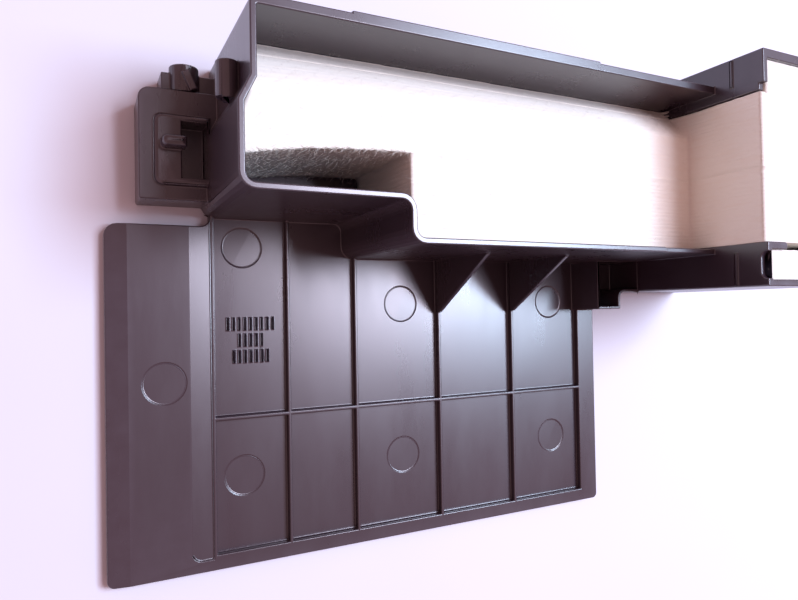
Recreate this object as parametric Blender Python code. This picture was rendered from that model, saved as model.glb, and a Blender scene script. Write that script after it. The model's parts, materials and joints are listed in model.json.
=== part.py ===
"""Waste-ink pad tray: a ribbed cover plate and a felt-filled trough in one moulding, with its felt sheets.

Frame: X runs along the trough, Y across the plate towards the trough, Z up out of the plate.
The plan drawing starts at the plate's outer corner; the origin is the middle of the footprint,
on the face that the tray rests on.
"""

import math

import bmesh
import bpy
from mathutils import Matrix, Vector

MM = 0.001

# ---- cover plate ----
PLATE_LENGTH = 129.0 * MM
PLATE_WIDTH = 74.0 * MM
PLATE_CORNER = 2.5 * MM
PLATE_LOWER_CORNER = 1.4 * MM
SKIN = 1.5 * MM
PLATE_TOP = 3.0 * MM
REBATE = 1.2 * MM
REBATE_WIDTH = 3.0 * MM
LOWER_MARGIN = 3.3 * MM
RIGHT_MARGIN = 5.9 * MM
FIRST_RIB = 21.3 * MM
RIB_STEPS = (16.8 * MM, 16.6 * MM, 22.9 * MM, 22.7 * MM)
RIB_WIDTH = 0.8 * MM
CROSS_RIB = 32.3 * MM
BENT_EDGE_WIDTH = 4.3 * MM
BENT_EDGE_DROP = 0.7 * MM
GROOVE_WIDTH = 4.4 * MM
GROOVE_DEPTH = 0.35 * MM
EJECTOR_DIAMETER = 9.2 * MM
EJECTOR_DEPTH = 0.12 * MM
EJECTOR_SLOPE = 2.2
EJECTOR_SHIFTS = (-1.7 * MM, 1.2 * MM, 2.2 * MM)
CODE_BAR_WIDTH = 0.55 * MM
CODE_BAR_LENGTH = 2.7 * MM
CODE_BAR_PITCH = 1.25 * MM
CODE_ROW_PITCH = 3.6 * MM
CODE_ROWS = (9, 5, 7)
CODE_RAISE = 0.3 * MM
CODE_PLACE = 20.4 * MM

# ---- trough ----
TROUGH_LEFT = 19.4 * MM
LEDGE_STEP = 8.3 * MM
TROUGH_STEP = 51.8 * MM
TROUGH_FRONT = 67.7 * MM
TROUGH_WIDTH = 41.6 * MM
TROUGH_RIM = 38.2 * MM
TROUGH_WALL = 1.2 * MM
BACK_WALL = 1.8 * MM
JOG_DEPTH = 2.2 * MM
JOG_START_GAP = 18.3 * MM
JOG_SLANT = 4.4 * MM
OUTER_CORNER = 3.0 * MM
STEP_CORNER = 2.0 * MM
RIM_DIP_START = 119.3 * MM
RIM_DIP = 1.2 * MM
LIP_START = 40.4 * MM
LIP_END = 100.0 * MM
LIP_OUT = 0.4 * MM
LIP_HEIGHT = 3.5 * MM

# ---- deep box at the end ----
BOX_LEFT = 137.5 * MM
BOX_LENGTH = 30.0 * MM
BOX_FRONT_STEP = 8.6 * MM
BOX_BACK_STEP = 5.2 * MM
BOX_RIM = 50.9 * MM
BOX_WALL = 1.6 * MM
BOX_BACK_WALL = 2.2 * MM
BOX_CORNER = 0.5 * MM
BOX_FAR_CORNER = 2.0 * MM
COLLAR_HEIGHT = 42.4 * MM
COLLAR_OUT = 0.25 * MM
COLLAR_WIDTH = 0.8 * MM
MOUTH_STEP = 4.4 * MM
PARTITION_WIDTH = 1.8 * MM
PARTITION_REACH = 7.3 * MM
SIDE_DIP = 1.8 * MM
SIDE_DIP_MARGIN = 1.9 * MM
SIDE_DIP_CORNER = 1.5 * MM

# ---- gussets and drain corner ----
GUSSET_REACH = 13.2 * MM
GUSSET_HEIGHT = 25.5 * MM
GUSSET_WIDTH = 1.0 * MM
GUSSET_TOE = 0.8 * MM
CORNER_LEG = 122.6 * MM
CORNER_FRONT = 54.4 * MM
CORNER_END = 130.9 * MM
CORNER_RIM = 12.0 * MM
CORNER_WALL = 0.85 * MM
CORNER_FILLET = 1.6 * MM

# ---- latch bracket ----
BRACKET_LEFT = 6.2 * MM
BRACKET_STEP = 2.2 * MM
BRACKET_WIDTH = 22.4 * MM
BRACKET_TOP = 9.5 * MM
BRACKET_CORNER = 2.2 * MM
BRACKET_WALL = 1.4 * MM
PAD_MARGIN = 2.8 * MM
PAD_RAISE = 1.0 * MM
PAD_CORNER = 1.6 * MM
PAD_EDGE = 0.8 * MM
POCKET_LEFT = 14.3 * MM
POCKET_STEP = 4.4 * MM
POCKET_WIDTH = 11.4 * MM
POCKET_FLOOR = 5.0 * MM
LUG_LENGTH = 4.7 * MM
LUG_WIDTH = 2.3 * MM
LUG_RISE = 3.2 * MM
LUG_EDGE = 0.9 * MM
LUG_OVERHANG = 0.7 * MM
LUG_STEP = 11.2 * MM
SCREW_BOSS_PLACE = 15.4 * MM
SCREW_BOSS_DIAMETER = 5.9 * MM
SCREW_BOSS_BORE = 2.6 * MM
SCREW_BOSS_HEIGHT = 6.4 * MM
SCREW_BOSS_LENGTH = 5.6 * MM
BOSS_KEY_WIDTH = 1.5 * MM
BOSS_KEY_RAISE = 0.7 * MM
BOSS_KEY_TURN = 24.0
FIN_OUT = 4.6 * MM
FIN_LENGTH = 4.1 * MM
FIN_TOP = 7.3 * MM
PEG_DIAMETER = 4.2 * MM
PEG_HEIGHT = 28.0 * MM
PEG_LENGTH = 7.0 * MM
PEG_SET_IN = 1.8 * MM

# ---- felt ----
FELT_BACK_SPACE = 0.4 * MM
GAP = 0.3 * MM
LOWER_SHEETS = 6
UPPER_SHEETS = 7
BACK_CORNER_SHEETS = 3
FRONT_CORNER_SHEETS = 2
BLOCK_SPACE = 0.5 * MM
FELT_LEVEL = 30.4 * MM
FELT_BACK_LEVEL = 24.5 * MM
FELT_BOX_LEVEL = 50.0 * MM
LOWER_BLOCK_INSET = 2.9 * MM

# ---- derived places ----
TROUGH_LEDGE = TROUGH_FRONT + LEDGE_STEP
TROUGH_BACK = TROUGH_FRONT + TROUGH_WIDTH
JOG_START = TROUGH_BACK - JOG_START_GAP
JOG_END = JOG_START + JOG_SLANT
BOX_FRONT = TROUGH_FRONT - BOX_FRONT_STEP
BOX_BACK = TROUGH_BACK + BOX_BACK_STEP
MOUTH_BACK = TROUGH_BACK - MOUTH_STEP
BRACKET_FRONT = TROUGH_LEDGE + BRACKET_STEP
BRACKET_BACK = BRACKET_FRONT + BRACKET_WIDTH
POCKET_FRONT = BRACKET_FRONT + POCKET_STEP
POCKET_BACK = POCKET_FRONT + POCKET_WIDTH
LUG_PLACE = BRACKET_FRONT + LUG_STEP
OVERALL_LENGTH = BOX_LEFT + BOX_LENGTH
OVERALL_WIDTH = BOX_BACK
ORIGIN = Vector((-OVERALL_LENGTH / 2, -OVERALL_WIDTH / 2, 0.0))
SINK = 0.4 * MM
FAR = 20.0 * MM


def fresh_collection(name):
    """Make a new collection in the scene."""
    collection = bpy.data.collections.new(name)
    bpy.context.scene.collection.children.link(collection)
    return collection


def clear_scene():
    """Remove every object that the file starts with."""
    for obj in list(bpy.data.objects):
        bpy.data.objects.remove(obj)


def material(name, colour, roughness):
    """A plain Principled material."""
    made = bpy.data.materials.new(name)
    made.use_nodes = True
    shader = made.node_tree.nodes["Principled BSDF"]
    shader.inputs["Base Color"].default_value = (*colour, 1.0)
    shader.inputs["Roughness"].default_value = roughness
    shader.inputs["Metallic"].default_value = 0.0
    return made


def rounded(points, segments=5):
    """Points of an outline whose corners (x, y, radius) are replaced by arcs."""
    outline = []
    count = len(points)
    for index, (x, y, radius) in enumerate(points):
        corner = Vector((x, y))
        if radius <= 0.0:
            outline.append(corner)
            continue
        before = (Vector(points[index - 1][:2]) - corner).normalized()
        after = (Vector(points[(index + 1) % count][:2]) - corner).normalized()
        half = before.angle(after) / 2
        centre = corner + (before + after).normalized() * (radius / math.sin(half))
        start = corner + before * (radius / math.tan(half)) - centre
        left_turn = before.y * after.x - before.x * after.y > 0
        turn = (math.pi - 2 * half) * (1 if left_turn else -1)
        for step in range(segments + 1):
            arm = start.copy()
            arm.rotate(Matrix.Rotation(turn * step / segments, 2))
            outline.append(centre + arm)
    return outline


def inset(points, distances):
    """The outline (x, y, radius) moved inwards; distances[i] moves the side from point i to the next.

    The outline runs anticlockwise, so inwards is to the left of each side.
    """
    count = len(points)
    moved = []
    for index in range(count):
        corner = Vector(points[index][:2])
        along_in = (corner - Vector(points[index - 1][:2])).normalized()
        along_out = (Vector(points[(index + 1) % count][:2]) - corner).normalized()
        side_in = Vector((-along_in.y, along_in.x)) * distances[index - 1]
        side_out = Vector((-along_out.y, along_out.x)) * distances[index]
        cross = along_in.x * along_out.y - along_in.y * along_out.x
        offset = side_out - side_in
        reach = (offset.x * along_out.y - offset.y * along_out.x) / cross
        place = corner + side_in + along_in * reach
        thickness = min(distances[index - 1], distances[index])
        radius = points[index][2]
        if radius > 0.0:
            radius = max(radius - thickness if cross > 0 else radius + thickness, 0.2 * MM)
        moved.append((place.x, place.y, radius))
    return moved


def snapped(shape):
    """Round every corner to a tenth of a micrometre, so faces drawn flush are truly flush."""
    for vertex in shape.verts:
        vertex.co = [round(value, 7) for value in vertex.co]


def solid(name, collection):
    """An empty mesh object placed in the plan drawing's frame."""
    obj = bpy.data.objects.new(name, bpy.data.meshes.new(name))
    obj.location = ORIGIN
    collection.objects.link(obj)
    return obj


def block(name, collection, low, high):
    """A box from its low corner to its high corner."""
    obj = solid(name, collection)
    low = Vector(low)
    high = Vector(high)
    shape = bmesh.new()
    bmesh.ops.create_cube(shape, size=1.0)
    size = high - low
    bmesh.ops.scale(shape, vec=size, verts=shape.verts)
    bmesh.ops.translate(shape, vec=(low + high) / 2, verts=shape.verts)
    snapped(shape)
    shape.to_mesh(obj.data)
    shape.free()
    return obj


def cylinder(name, collection, centre, radius, length, axis, segments=32):
    """A cylinder from centre along +axis ('Y' or 'Z')."""
    obj = solid(name, collection)
    shape = bmesh.new()
    bmesh.ops.create_cone(
        shape, cap_ends=True, segments=segments, radius1=radius, radius2=radius, depth=length
    )
    bmesh.ops.translate(shape, vec=(0.0, 0.0, length / 2), verts=shape.verts)
    if axis == "Y":
        bmesh.ops.rotate(shape, matrix=Matrix.Rotation(-math.pi / 2, 3, "X"), verts=shape.verts)
    bmesh.ops.translate(shape, vec=Vector(centre), verts=shape.verts)
    snapped(shape)
    shape.to_mesh(obj.data)
    shape.free()
    return obj


def prism(name, collection, outline, low, high, axis="Z"):
    """A flat outline filled as a 2D curve and extruded from low to high along the axis.

    For axis X the outline is (y, z); for axis Y it is (x, z).
    """
    curve = bpy.data.curves.new(name, "CURVE")
    curve.dimensions = "2D"
    curve.fill_mode = "BOTH"
    curve.extrude = (high - low) / 2
    spline = curve.splines.new("POLY")
    spline.points.add(len(outline) - 1)
    for point, place in zip(spline.points, outline):
        point.co = (place[0], place[1], 0.0, 1.0)
    spline.use_cyclic_u = True
    drawn = bpy.data.objects.new(name + "_outline", curve)
    collection.objects.link(drawn)
    evaluated = drawn.evaluated_get(bpy.context.evaluated_depsgraph_get())
    mesh = bpy.data.meshes.new_from_object(evaluated)
    bpy.data.objects.remove(drawn)
    middle = (low + high) / 2
    turns = {
        "Z": Matrix.Translation((0.0, 0.0, middle)),
        "X": Matrix.Translation((middle, 0.0, 0.0))
        @ Matrix.Rotation(math.pi / 2, 4, "Z")
        @ Matrix.Rotation(math.pi / 2, 4, "X"),
        "Y": Matrix.Translation((0.0, middle, 0.0)) @ Matrix.Rotation(math.pi / 2, 4, "X"),
    }
    mesh.transform(turns[axis])
    shape = bmesh.new()
    shape.from_mesh(mesh)
    bmesh.ops.remove_doubles(shape, verts=shape.verts, dist=0.001 * MM)
    bmesh.ops.recalc_face_normals(shape, faces=shape.faces)
    snapped(shape)
    shape.to_mesh(mesh)
    shape.free()
    obj = bpy.data.objects.new(name, mesh)
    obj.location = ORIGIN
    collection.objects.link(obj)
    return obj


def soften_top(obj, width):
    """Round the rim of a prism's top face."""
    shape = bmesh.new()
    shape.from_mesh(obj.data)
    top = max(vertex.co.z for vertex in shape.verts)
    rim = [
        edge
        for edge in shape.edges
        if all(abs(vertex.co.z - top) < SINK / 10 for vertex in edge.verts)
        and any(abs(face.normal.z) < 0.5 for face in edge.link_faces)
    ]
    bmesh.ops.bevel(shape, geom=rim, offset=width, segments=2, profile=0.5, affect="EDGES")
    shape.to_mesh(obj.data)
    shape.free()
    return obj


def combine(target, tools, operation):
    """Join tools to the target, or cut them from it, one exact Boolean after the other."""
    for tool in tools:
        modifier = target.modifiers.new(tool.name, "BOOLEAN")
        modifier.operation = operation
        modifier.solver = "EXACT"
        modifier.object = tool
        tool.hide_render = True
        tool.display_type = "WIRE"


def rib_places():
    """X of the middle of each rib across the plate, the first beside the side panel."""
    places = [FIRST_RIB]
    for step in RIB_STEPS:
        places.append(places[-1] + step)
    return places


def plate_outline():
    """The cover plate, with its two free corners and the fillet that leads up to the trough."""
    rib_side = FIRST_RIB - RIB_WIDTH / 2
    return [
        (0.0, 0.0, PLATE_LOWER_CORNER),
        (PLATE_LENGTH, 0.0, PLATE_LOWER_CORNER),
        (PLATE_LENGTH, TROUGH_FRONT + TROUGH_WALL, 0.0),
        (TROUGH_STEP + TROUGH_WALL, TROUGH_FRONT + TROUGH_WALL, 0.0),
        (TROUGH_STEP + TROUGH_WALL, TROUGH_LEDGE + TROUGH_WALL, 0.0),
        (rib_side, TROUGH_LEDGE + TROUGH_WALL, 0.0),
        (rib_side, PLATE_WIDTH, TROUGH_LEDGE - PLATE_WIDTH),
        (0.0, PLATE_WIDTH, PLATE_CORNER),
    ]


def trough_outline():
    """Outer face of the trough, anticlockwise from its left front corner."""
    left_back = TROUGH_LEFT + JOG_DEPTH
    end = BOX_LEFT + BOX_WALL / 2
    return [
        (TROUGH_LEFT, TROUGH_LEDGE, OUTER_CORNER),
        (TROUGH_STEP, TROUGH_LEDGE, STEP_CORNER),
        (TROUGH_STEP, TROUGH_FRONT, OUTER_CORNER),
        (end, TROUGH_FRONT, 0.0),
        (end, TROUGH_BACK, 0.0),
        (left_back, TROUGH_BACK, OUTER_CORNER / 2),
        (left_back, JOG_END, 0.0),
        (TROUGH_LEFT, JOG_START, 0.0),
    ]


def box_outline():
    """Outer face of the deep box, anticlockwise from its front corner beside the trough."""
    right = BOX_LEFT + BOX_LENGTH
    return [
        (BOX_LEFT, BOX_FRONT, BOX_CORNER),
        (right, BOX_FRONT, BOX_FAR_CORNER),
        (right, BOX_BACK, BOX_FAR_CORNER),
        (BOX_LEFT, BOX_BACK, BOX_CORNER),
    ]


def plate_pieces(tools):
    """The plate with its sunk cells: what is added, what is cut, and the ribs that are left in."""
    ribs = rib_places()
    cells_left = FIRST_RIB + RIB_WIDTH / 2
    cells_right = PLATE_LENGTH - RIGHT_MARGIN
    flange = prism("plate_flange", tools, rounded(plate_outline()), REBATE, PLATE_TOP)
    pan = block(
        "plate_pan",
        tools,
        (FIRST_RIB - RIB_WIDTH / 2 - GROOVE_WIDTH - SKIN, LOWER_MARGIN - SKIN, 0.0),
        (cells_right + SKIN, TROUGH_FRONT + SINK, SKIN),
    )
    pan_back = block(
        "plate_pan_back",
        tools,
        (FIRST_RIB - RIB_WIDTH / 2, PLATE_WIDTH - PLATE_CORNER - FAR, 0.0),
        (TROUGH_STEP + SINK, TROUGH_LEDGE + SINK, SKIN),
    )
    cells = block(
        "plate_cells", tools, (cells_left, LOWER_MARGIN, SKIN), (cells_right, TROUGH_BACK, FAR)
    )
    upright = [
        block(
            f"plate_rib_{index + 1}",
            tools,
            (place - RIB_WIDTH / 2, LOWER_MARGIN - SINK, SKIN - SINK),
            (place + RIB_WIDTH / 2, TROUGH_LEDGE + SINK, PLATE_TOP),
        )
        for index, place in enumerate(ribs[1:], start=1)
    ]
    across = block(
        "plate_cross_rib",
        tools,
        (cells_left - SINK, CROSS_RIB - RIB_WIDTH / 2, SKIN - SINK),
        (cells_right + SINK, CROSS_RIB + RIB_WIDTH / 2, PLATE_TOP),
    )
    return flange, [pan, pan_back], [cells], upright + [across]


def plate_groove(tools):
    """The ramped groove beside the first rib, with its rounded lower end."""
    slope = math.atan2(GROOVE_DEPTH, GROOVE_WIDTH)
    length = math.hypot(GROOVE_DEPTH, GROOVE_WIDTH)
    start = LOWER_MARGIN - SKIN / 2
    outline = rounded([
        (-length, start, STEP_CORNER),
        (0.0, start, 0.0),
        (0.0, PLATE_WIDTH + FAR, 0.0),
        (-length, PLATE_WIDTH + FAR, 0.0),
    ])
    groove = prism("plate_groove", tools, outline, 0.0, FAR)
    groove.data.transform(Matrix.Rotation(slope, 4, "Y"))
    low_edge = (FIRST_RIB - RIB_WIDTH / 2, 0.0, PLATE_TOP - GROOVE_DEPTH)
    groove.data.transform(Matrix.Translation(low_edge))
    return groove


def bent_edge(tools):
    """The wedge taken off along the plate's free left edge, where the cover bends away."""
    outline = [
        (-FAR, PLATE_TOP - BENT_EDGE_DROP * (1 + FAR / BENT_EDGE_WIDTH)),
        (BENT_EDGE_WIDTH, PLATE_TOP),
        (BENT_EDGE_WIDTH, FAR),
        (-FAR, FAR),
    ]
    return prism("plate_bent_edge", tools, outline, -FAR, PLATE_WIDTH + SINK, axis="Y")


def dish(name, tools, centre):
    """A cutter for one flat round recess with a gently sloped rim."""
    obj = solid(name, tools)
    shape = bmesh.new()
    deep = EJECTOR_DIAMETER / 2 - EJECTOR_DEPTH * EJECTOR_SLOPE
    bmesh.ops.create_cone(
        shape,
        cap_ends=True,
        segments=40,
        radius1=deep,
        radius2=deep + 2 * EJECTOR_DEPTH * EJECTOR_SLOPE,
        depth=2 * EJECTOR_DEPTH,
    )
    middle = Vector(centre) + Vector((0.0, 0.0, EJECTOR_DEPTH))
    bmesh.ops.translate(shape, vec=middle, verts=shape.verts)
    snapped(shape)
    shape.to_mesh(obj.data)
    shape.free()
    return obj


def ejector_marks(tools):
    """The shallow round marks that the ejector pins leave on the plate."""
    ribs = rib_places()
    middles = [(ribs[i] + ribs[i + 1]) / 2 for i in range(len(ribs) - 1)]
    first = middles[0] + EJECTOR_SHIFTS[0]
    third = middles[2] + EJECTOR_SHIFTS[1]
    last = (ribs[-1] + PLATE_LENGTH - RIGHT_MARGIN) / 2 + EJECTOR_SHIFTS[2]
    upper = CROSS_RIB + (TROUGH_FRONT - CROSS_RIB) * 0.69
    lower = LOWER_MARGIN + (CROSS_RIB - LOWER_MARGIN) * 0.55
    high = TROUGH_LEDGE - EJECTOR_DIAMETER * 0.69
    places = [
        (first, high, SKIN),
        (first, lower, SKIN),
        (third, upper, SKIN),
        (third, lower, SKIN),
        (last, upper, SKIN),
        (last, lower, SKIN),
        (FIRST_RIB * 0.53, CROSS_RIB + EJECTOR_DIAMETER * 0.91, PLATE_TOP),
    ]
    return [
        dish(f"ejector_mark_{index + 1}", tools, (x, y, level - EJECTOR_DEPTH))
        for index, (x, y, level) in enumerate(places)
    ]


def code_bars(tools):
    """Three short rows of plain raised bars where moulders put a material mark."""
    centre = FIRST_RIB + RIB_STEPS[0] / 2
    pieces = []
    for row, count in enumerate(CODE_ROWS):
        y = CROSS_RIB + CODE_PLACE - row * CODE_ROW_PITCH
        for column in range(count):
            x = centre + (column - (count - 1) / 2) * CODE_BAR_PITCH
            pieces.append(
                block(
                    f"code_bar_{row + 1}_{column + 1}",
                    tools,
                    (x - CODE_BAR_WIDTH / 2, y - CODE_BAR_LENGTH / 2, SKIN - SINK),
                    (x + CODE_BAR_WIDTH / 2, y + CODE_BAR_LENGTH / 2, SKIN + CODE_RAISE),
                )
            )
    return pieces


def gussets(tools):
    """Two triangular ribs that stand on the plate's ribs and brace the trough's front wall."""
    outline = [
        (TROUGH_FRONT - GUSSET_REACH, PLATE_TOP - SINK),
        (TROUGH_FRONT + SINK, PLATE_TOP - SINK),
        (TROUGH_FRONT + SINK, GUSSET_HEIGHT),
        (TROUGH_FRONT - SINK, GUSSET_HEIGHT),
        (TROUGH_FRONT - GUSSET_REACH, PLATE_TOP + GUSSET_TOE),
    ]
    return [
        prism(
            f"gusset_{index + 1}",
            tools,
            outline,
            place - GUSSET_WIDTH / 2,
            place + GUSSET_WIDTH / 2,
            axis="X",
        )
        for index, place in enumerate(rib_places()[3:5])
    ]


def corner_pieces(tools):
    """The low walled pocket where the plate, the trough and the deep box meet."""
    outline = [
        (CORNER_LEG, CORNER_FRONT, 0.0),
        (CORNER_END, CORNER_FRONT, 0.0),
        (CORNER_END, BOX_FRONT, CORNER_FILLET),
        (BOX_LEFT + BOX_WALL / 2, BOX_FRONT, 0.0),
        (BOX_LEFT + BOX_WALL / 2, TROUGH_FRONT + TROUGH_WALL / 2, 0.0),
        (CORNER_LEG, TROUGH_FRONT + TROUGH_WALL / 2, 0.0),
    ]
    walls = (CORNER_WALL,) * len(outline)
    outer = prism("corner_outer", tools, rounded(outline), 0.0, CORNER_RIM)
    inner = prism("corner_inner", tools, rounded(inset(outline, walls)), SKIN, CORNER_RIM + FAR)
    return outer, inner


def bracket_pieces(tools):
    """The latch bracket beside the trough: its shell, raised pad and the hollow under it."""
    right = TROUGH_LEFT + TROUGH_WALL / 2
    outline = [
        (BRACKET_LEFT, BRACKET_FRONT, BOX_CORNER),
        (right, BRACKET_FRONT, 0.0),
        (right, BRACKET_BACK, 0.0),
        (BRACKET_LEFT, BRACKET_BACK, BRACKET_CORNER),
    ]
    shell = prism("bracket_shell", tools, rounded(outline), 0.0, BRACKET_TOP)
    web = block(
        "bracket_web",
        tools,
        (SCREW_BOSS_PLACE, JOG_START, 0.0),
        (TROUGH_LEFT + JOG_DEPTH + TROUGH_WALL / 2, BRACKET_BACK, BRACKET_TOP),
    )
    hollow = prism(
        "bracket_hollow",
        tools,
        rounded(inset(outline, (BRACKET_WALL,) * 4)),
        -FAR,
        BRACKET_TOP - BRACKET_WALL,
    )
    pad_outline = rounded([
        (BRACKET_LEFT + PAD_MARGIN, BRACKET_FRONT + PAD_MARGIN, PAD_CORNER),
        (right, BRACKET_FRONT + PAD_MARGIN, 0.0),
        (right, POCKET_BACK + BRACKET_WALL, 0.0),
        (BRACKET_LEFT + PAD_MARGIN, POCKET_BACK + BRACKET_WALL, PAD_CORNER),
    ])
    pad = prism("bracket_pad", tools, pad_outline, BRACKET_TOP - SINK, BRACKET_TOP + PAD_RAISE)
    soften_top(pad, PAD_EDGE)
    cup = block(
        "pocket_cup",
        tools,
        (POCKET_LEFT - BRACKET_WALL, POCKET_FRONT - BRACKET_WALL, POCKET_FLOOR - BRACKET_WALL),
        (right, POCKET_BACK + BRACKET_WALL, BRACKET_TOP - SINK),
    )
    pocket = block(
        "latch_pocket",
        tools,
        (POCKET_LEFT, POCKET_FRONT, POCKET_FLOOR),
        (TROUGH_LEFT, POCKET_BACK, BRACKET_TOP + FAR),
    )
    return [shell, web], hollow, [pad, cup], pocket


def snap_lug(tools):
    """The lug that hangs a little way over the latch pocket."""
    right = POCKET_LEFT + LUG_OVERHANG
    outline = rounded([
        (right - LUG_LENGTH, LUG_PLACE - LUG_WIDTH / 2, LUG_WIDTH * 0.4),
        (right, LUG_PLACE - LUG_WIDTH / 2, 0.0),
        (right, LUG_PLACE + LUG_WIDTH / 2, 0.0),
        (right - LUG_LENGTH, LUG_PLACE + LUG_WIDTH / 2, LUG_WIDTH * 0.4),
    ])
    top = BRACKET_TOP + PAD_RAISE + LUG_RISE
    lug = prism("snap_lug", tools, outline, BRACKET_TOP + PAD_RAISE - SINK, top)
    return soften_top(lug, LUG_EDGE)


def screw_boss(tools):
    """The boss behind the bracket whose screw hole runs along Y, with its key and fins."""
    start = BRACKET_BACK - BRACKET_WALL
    length = BRACKET_WALL + SCREW_BOSS_LENGTH
    boss = cylinder(
        "screw_boss",
        tools,
        (SCREW_BOSS_PLACE, start, SCREW_BOSS_HEIGHT),
        SCREW_BOSS_DIAMETER / 2,
        length,
        "Y",
    )
    fin = block(
        "boss_fin",
        tools,
        (SCREW_BOSS_PLACE - FIN_OUT, start, 0.0),
        (SCREW_BOSS_PLACE, BRACKET_BACK + FIN_LENGTH, FIN_TOP),
    )
    rib = block(
        "boss_rib",
        tools,
        (SCREW_BOSS_PLACE, start, 0.0),
        (TROUGH_LEFT + JOG_DEPTH + TROUGH_WALL / 2, BRACKET_BACK + FIN_LENGTH, FIN_TOP),
    )
    bore = cylinder(
        "screw_hole",
        tools,
        (SCREW_BOSS_PLACE, BRACKET_BACK, SCREW_BOSS_HEIGHT),
        SCREW_BOSS_BORE / 2,
        FAR,
        "Y",
        segments=20,
    )
    key_length = SCREW_BOSS_LENGTH * 0.72
    top = SCREW_BOSS_HEIGHT + SCREW_BOSS_DIAMETER / 2
    key = block(
        "boss_key",
        tools,
        (-BOSS_KEY_WIDTH / 2, 0.0, -SCREW_BOSS_DIAMETER / 4),
        (BOSS_KEY_WIDTH / 2, key_length, BOSS_KEY_RAISE),
    )
    key.data.transform(Matrix.Rotation(math.radians(BOSS_KEY_TURN), 4, "Z"))
    key_place = (SCREW_BOSS_PLACE + BOSS_KEY_WIDTH, BRACKET_BACK + BOSS_KEY_RAISE / 2, top)
    key.data.transform(Matrix.Translation(key_place))
    return [boss, fin, rib, key], [bore]


def jog_peg(tools):
    """The round peg that runs back along Y from the trough's jog."""
    x = TROUGH_LEFT + JOG_DEPTH - PEG_SET_IN
    centre = (x, JOG_END - PEG_LENGTH / 4, PEG_HEIGHT)
    return cylinder("jog_peg", tools, centre, PEG_DIAMETER / 2, PEG_LENGTH, "Y", segments=28)


def hollow_pieces(tools):
    """What is cut from the trough and the deep box to hold the felt."""
    thin = TROUGH_WALL
    trough_sides = (thin, thin, thin, 0.0, BACK_WALL, thin, thin, thin)
    trough = inset(trough_outline(), trough_sides)
    trough[3] = (BOX_LEFT, trough[3][1], 0.0)
    trough[4] = (BOX_LEFT, trough[4][1], 0.0)
    box = inset(box_outline(), (BOX_WALL, BOX_WALL, BOX_BACK_WALL, BOX_WALL))
    mouth_front = TROUGH_FRONT + PARTITION_WIDTH
    return [
        prism("trough_hollow", tools, rounded(trough), SKIN, TROUGH_RIM + FAR),
        prism("box_hollow", tools, rounded(box), SKIN, BOX_RIM + FAR),
        block(
            "box_mouth",
            tools,
            (BOX_LEFT - SINK, mouth_front, SKIN),
            (BOX_LEFT + BOX_WALL + SINK, MOUTH_BACK, BOX_RIM + FAR),
        ),
    ]


def rim_cuts(tools):
    """The dips in the trough's front rim and in the deep box's side rim."""
    front = block(
        "front_rim_dip",
        tools,
        (RIM_DIP_START, TROUGH_FRONT - SINK, TROUGH_RIM - RIM_DIP),
        (BOX_LEFT, TROUGH_FRONT + TROUGH_WALL + SINK, TROUGH_RIM + FAR),
    )
    low = BOX_FRONT + SIDE_DIP_MARGIN
    high = TROUGH_FRONT - SINK
    bottom = BOX_RIM - SIDE_DIP
    outline = rounded([
        (low, bottom, SIDE_DIP_CORNER),
        (high, bottom, SIDE_DIP_CORNER),
        (high, BOX_RIM + FAR, 0.0),
        (low, BOX_RIM + FAR, 0.0),
    ])
    side = prism(
        "side_rim_dip", tools, outline, BOX_LEFT - SINK, BOX_LEFT + BOX_WALL + SINK, axis="X"
    )
    notch = block(
        "side_rim_notch",
        tools,
        (BOX_LEFT - SINK, MOUTH_BACK - SINK, BOX_RIM - RIM_DIP),
        (BOX_LEFT + BOX_WALL + SINK, MOUTH_BACK + BOX_WALL, BOX_RIM + FAR),
    )
    return [front, side, notch]


def partition(tools):
    """The short wall with a rounded end that carries the trough's front wall into the box."""
    end = BOX_LEFT + PARTITION_REACH
    outline = rounded([
        (BOX_LEFT, TROUGH_FRONT, 0.0),
        (end, TROUGH_FRONT, PARTITION_WIDTH * 0.45),
        (end, TROUGH_FRONT + PARTITION_WIDTH, PARTITION_WIDTH * 0.45),
        (BOX_LEFT, TROUGH_FRONT + PARTITION_WIDTH, 0.0),
    ])
    return prism("box_partition", tools, outline, SKIN - SINK, BOX_RIM)


def back_lip(tools):
    """The thickened stretch of the trough's back rim."""
    return block(
        "back_lip",
        tools,
        (LIP_START, TROUGH_BACK - SINK, TROUGH_RIM - LIP_HEIGHT),
        (LIP_END, TROUGH_BACK + LIP_OUT, TROUGH_RIM),
    )


def box_collar(tools):
    """The fine raised line along the deep box's side."""
    return block(
        "box_collar",
        tools,
        (BOX_LEFT - COLLAR_OUT, BOX_FRONT + BOX_CORNER, COLLAR_HEIGHT),
        (BOX_LEFT + SINK, BOX_BACK - BOX_CORNER, COLLAR_HEIGHT + COLLAR_WIDTH),
    )


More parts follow.
